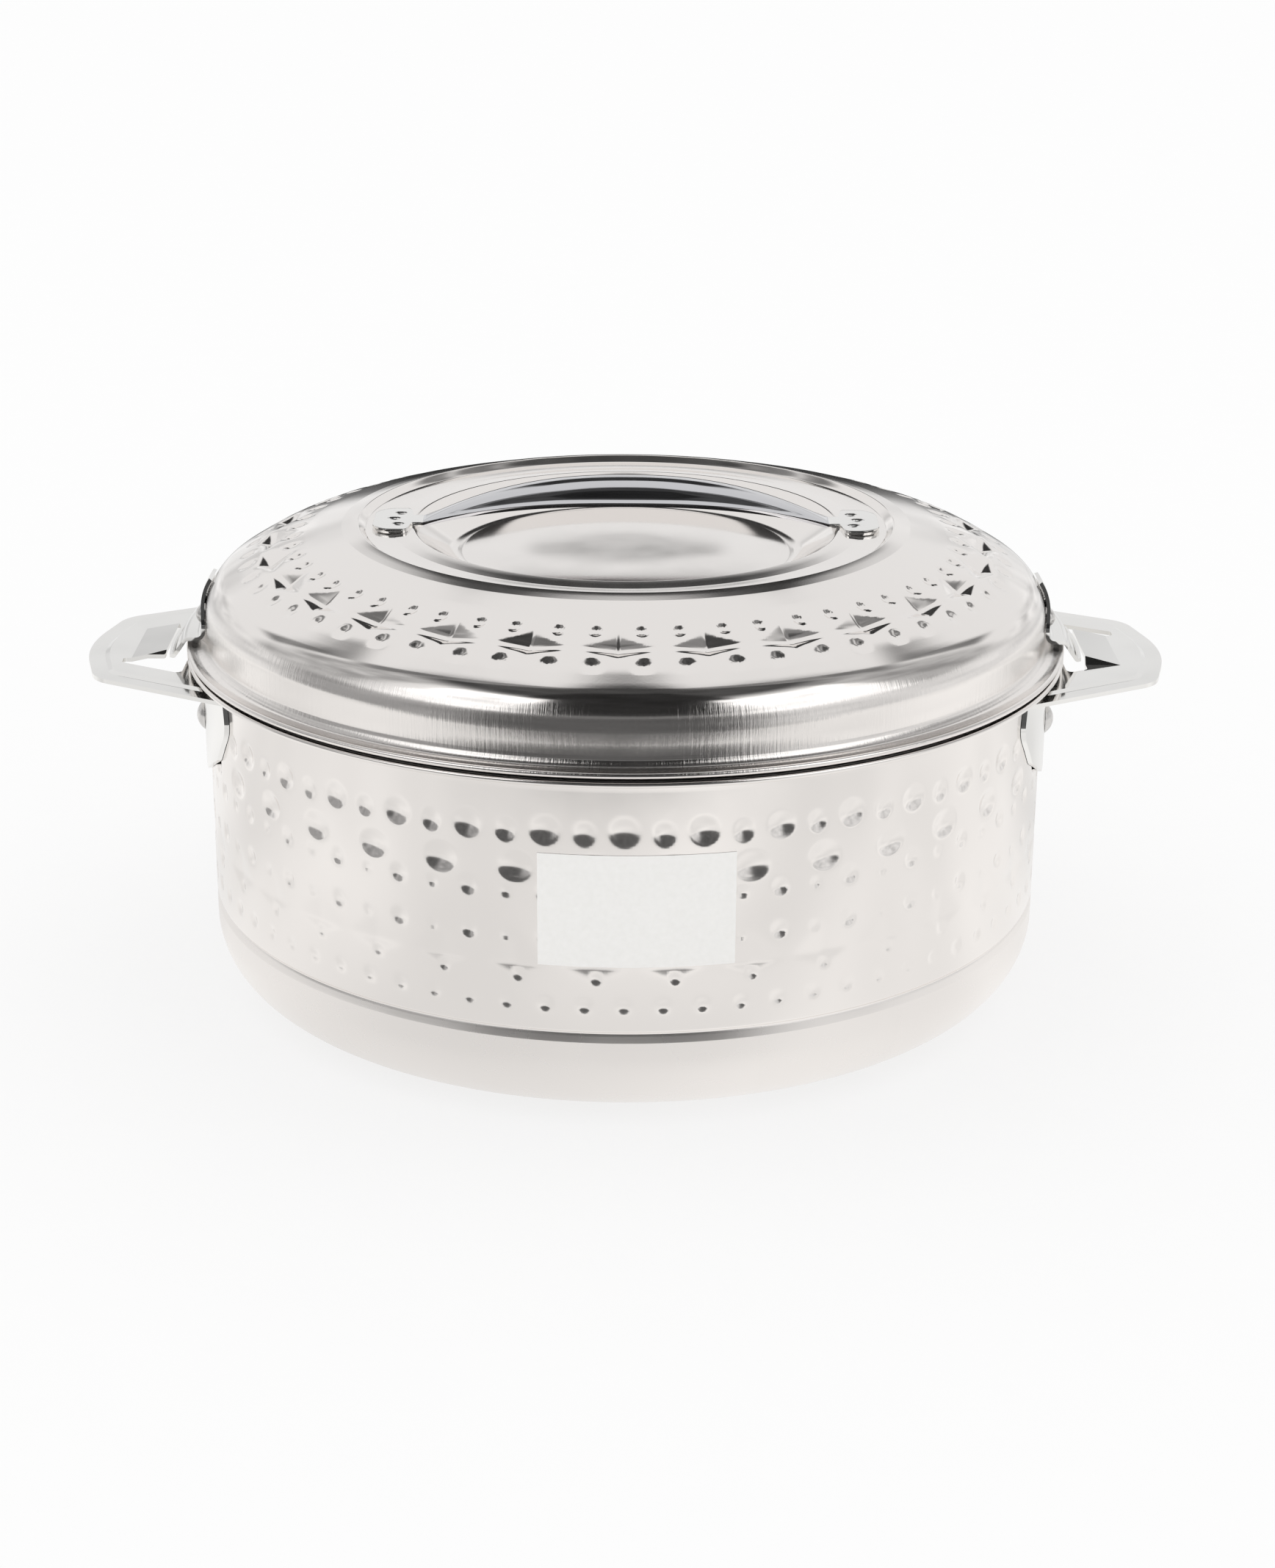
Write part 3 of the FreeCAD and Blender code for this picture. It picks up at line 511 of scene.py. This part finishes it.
# the bow's tabs keep the lighter pressed steel, without the arch's painted shade
lidBow.data.materials.append(pressedSteel)
for face in lidBow.data.polygons:
    face.material_index = 1 if abs(face.center.x) > mm(bow["span"]) else 0
print("materials", len(bpy.data.materials))

# stage: white paper that the camera sees a little lighter than its light alone makes it
paperSheet = {"size": 30, "tones": ("F7F7F7", "F4F4F4"), "fibre": 60.0, "roughness": 0.9,
              "lift": 0.7}
bpy.ops.mesh.primitive_plane_add(size=paperSheet["size"])
floorPlane = bpy.context.object
floorPlane.name = "floorPlane"
floorMaterial, tree = newMaterial("whiteSeamlessPaper")
place = addNode(tree, "ShaderNodeTexCoord").outputs["Object"]
fibre = addNode(tree, "ShaderNodeTexNoise", {"Vector": place, "Scale": paperSheet["fibre"],
                                             "Detail": 4.0})
mix = addNode(tree, "ShaderNodeMix", {"Factor": fibre.outputs["Fac"],
                                      6: tone(paperSheet["tones"][0]),
                                      7: tone(paperSheet["tones"][1])}, data_type="RGBA")
shader = addNode(tree, "ShaderNodeBsdfPrincipled", {"Base Color": mix.outputs[2],
                                                    "Roughness": paperSheet["roughness"]})
white = addNode(tree, "ShaderNodeEmission", {"Color": (1, 1, 1, 1), "Strength": 1.0})
rays = addNode(tree, "ShaderNodeLightPath")
lift = addNode(tree, "ShaderNodeMath", {0: rays.outputs["Is Camera Ray"], 1: paperSheet["lift"]},
               operation="MULTIPLY")
paper = addNode(tree, "ShaderNodeMixShader", {0: lift.outputs[0], 1: shader.outputs[0],
                                              2: white.outputs[0]})
addNode(tree, "ShaderNodeOutputMaterial", {0: paper.outputs[0]})
floorPlane.data.materials.append(floorMaterial)
floorPlane.visible_glossy = False

# the table's white top, which only the steel sees, ends in front of the pot, where the darker
# room begins
table = {"place": (0, 0.08, -0.0005), "scale": (1.8, 0.96, 1), "clouds": 5.0, "darkest": 0.8,
         "lightest": 1.02}
bpy.ops.mesh.primitive_plane_add(size=1, location=table["place"])
tableTop = bpy.context.object
tableTop.name = "tableTop"
tableTop.scale = table["scale"]
tableMaterial, tree = newMaterial("whiteTableTop")
place = addNode(tree, "ShaderNodeTexCoord").outputs["Object"]
clouds = addNode(tree, "ShaderNodeTexNoise", {"Vector": place, "Scale": table["clouds"],
                                              "Detail": 2.0})
gloss = addNode(tree, "ShaderNodeMapRange", {"Value": clouds.outputs["Fac"], "From Min": 0.35,
                                             "From Max": 0.65, "To Min": table["darkest"],
                                             "To Max": table["lightest"]})
shine = addNode(tree, "ShaderNodeEmission", {"Color": (1, 0.995, 0.985, 1),
                                             "Strength": gloss.outputs[0]})
addNode(tree, "ShaderNodeOutputMaterial", {0: shine.outputs[0]})
tableTop.data.materials.append(tableMaterial)
tableTop.visible_camera = False
tableTop.visible_diffuse = False
tableTop.visible_shadow = False
print("stage")

world = bpy.data.worlds.new("studio")
bpy.context.scene.world = world
world.use_nodes = True
tree = world.node_tree
tree.nodes.clear()
direction = addNode(tree, "ShaderNodeTexCoord").outputs["Generated"]
parts = addNode(tree, "ShaderNodeSeparateXYZ", {"Vector": direction})
flipped = addNode(tree, "ShaderNodeMath", {0: parts.outputs["Y"], 1: -1.0}, operation="MULTIPLY")
azimuth = addNode(tree, "ShaderNodeMath", {0: parts.outputs["X"], 1: flipped.outputs[0]},
                  operation="ARCTAN2").outputs[0]
elevation = addNode(tree, "ShaderNodeMath", {0: parts.outputs["Z"]}, operation="ARCSINE").outputs[0]


# one inside a span of degrees, zero outside it, with soft edges
def band(value, low, high, soft):
    rise = addNode(tree, "ShaderNodeMapRange",
                   {"Value": value, "From Min": math.radians(low - soft),
                    "From Max": math.radians(low + soft)},
                   interpolation_type="SMOOTHSTEP").outputs[0]
    fall = addNode(tree, "ShaderNodeMapRange",
                   {"Value": value, "From Min": math.radians(high - soft),
                    "From Max": math.radians(high + soft), "To Min": 1.0, "To Max": 0.0},
                   interpolation_type="SMOOTHSTEP").outputs[0]
    return addNode(tree, "ShaderNodeMath", {0: rise, 1: fall}, operation="MULTIPLY").outputs[0]


# azimuth span, elevation span, softness, level: 0 is towards the front, + to the right; a later
# window covers an earlier one
surroundings = [
    # behind: dark under the horizon, a dark band higher up and a thin line between them
    (-200, -150, -100, 2, 3, 0.04), (150, 200, -100, 2, 3, 0.04),
    (-200, -168, 20, 39, 2, 0.04), (168, 200, 20, 39, 2, 0.04),
    (-200, -177.3, 15.1, 15.95, 0.45, 0.25), (177.3, 200, 15.1, 15.95, 0.45, 0.25),
    # at the sides: walls, posts at the far corners and what stands above them, and a light strip
    # low down
    (-120, -80, 14, 64, 6, 0.5), (80, 120, 14, 62, 6, 0.42),
    (-135, -124, 28, 50, 3, 0.25), (124, 135, 28, 50, 3, 0.25),
    (-124, -110, 50, 100, 3, 0.2), (110, 124, 50, 100, 3, 0.2),
    (-170, -84, -12, 14, 5, 0.78), (84, 170, -12, 14, 5, 0.8),
    # overhead: a dark ceiling
    (-200, 200, 80.5, 100, 2.5, 0.05), (-110, 110, 60, 100, 6, 0.07),
    # in front: grey low down, a dark room in the middle, and a softbox on either side
    (-100, 0, -100, 20, 5, 0.36), (0, 84, -100, 20, 5, 0.7),
    (-40, 34, -100, 24, 7, 0.1), (-42, 42, 23, 83, 4, 0.02),
    (-69, -29, 22, 59, 2, 1.3), (32, 81, 18, 56, 2, 1.3)]
level = 0.86  # everywhere else
# the room is uneven, so every window of light and dark is a little clouded
clouds = addNode(tree, "ShaderNodeTexNoise", {"Vector": direction, "Scale": 7.0, "Detail": 3.0})
clouded = addNode(tree, "ShaderNodeMapRange", {"Value": clouds.outputs["Fac"], "From Min": 0.35,
                                               "From Max": 0.65, "To Min": 0.7,
                                               "To Max": 1.25}).outputs[0]
for azLow, azHigh, elLow, elHigh, soft, strength in surroundings:
    wide = band(azimuth, azLow, azHigh, soft)
    tall = band(elevation, elLow, elHigh, soft)
    mask = addNode(tree, "ShaderNodeMath", {0: wide, 1: tall}, operation="MULTIPLY").outputs[0]
    glow = addNode(tree, "ShaderNodeMath", {0: clouded, 1: strength},
                   operation="MULTIPLY").outputs[0]
    level = addNode(tree, "ShaderNodeMix", {0: mask, 2: level, 3: glow}).outputs[0]
# only reflections see the windows: the rest is lit evenly, and the camera sees white
evenLight = 1.05
rays = addNode(tree, "ShaderNodeLightPath")
even = addNode(tree, "ShaderNodeMix", {0: rays.outputs["Is Glossy Ray"], 2: evenLight,
                                       3: level}).outputs[0]
seen = addNode(tree, "ShaderNodeMix", {0: rays.outputs["Is Camera Ray"], 2: even,
                                       3: 1.0}).outputs[0]
back = addNode(tree, "ShaderNodeBackground", {"Color": (1, 1, 1, 1), "Strength": seen})
addNode(tree, "ShaderNodeOutputWorld", {0: back.outputs[0]})
print("surroundings", len(surroundings))

# camera, with angles in degrees and the lens in mm
shot = {"place": (0, -0.8009, 0.3432), "down": 19.98, "roll": 0.254, "lens": 66.69, "sensor": 36,
        "shift": 0.0081}
bpy.ops.object.camera_add(location=shot["place"])
camera = bpy.context.object
tilt = (Matrix.Rotation(math.radians(90 - shot["down"]), 4, "X")
        @ Matrix.Rotation(math.radians(shot["roll"]), 4, "Z"))
camera.rotation_euler = tilt.to_euler()
camera.data.lens = shot["lens"]
camera.data.sensor_width = shot["sensor"]
camera.data.shift_x = shot["shift"]
bpy.context.scene.camera = camera
bpy.context.scene.view_settings.view_transform = "Standard"
print("camera")
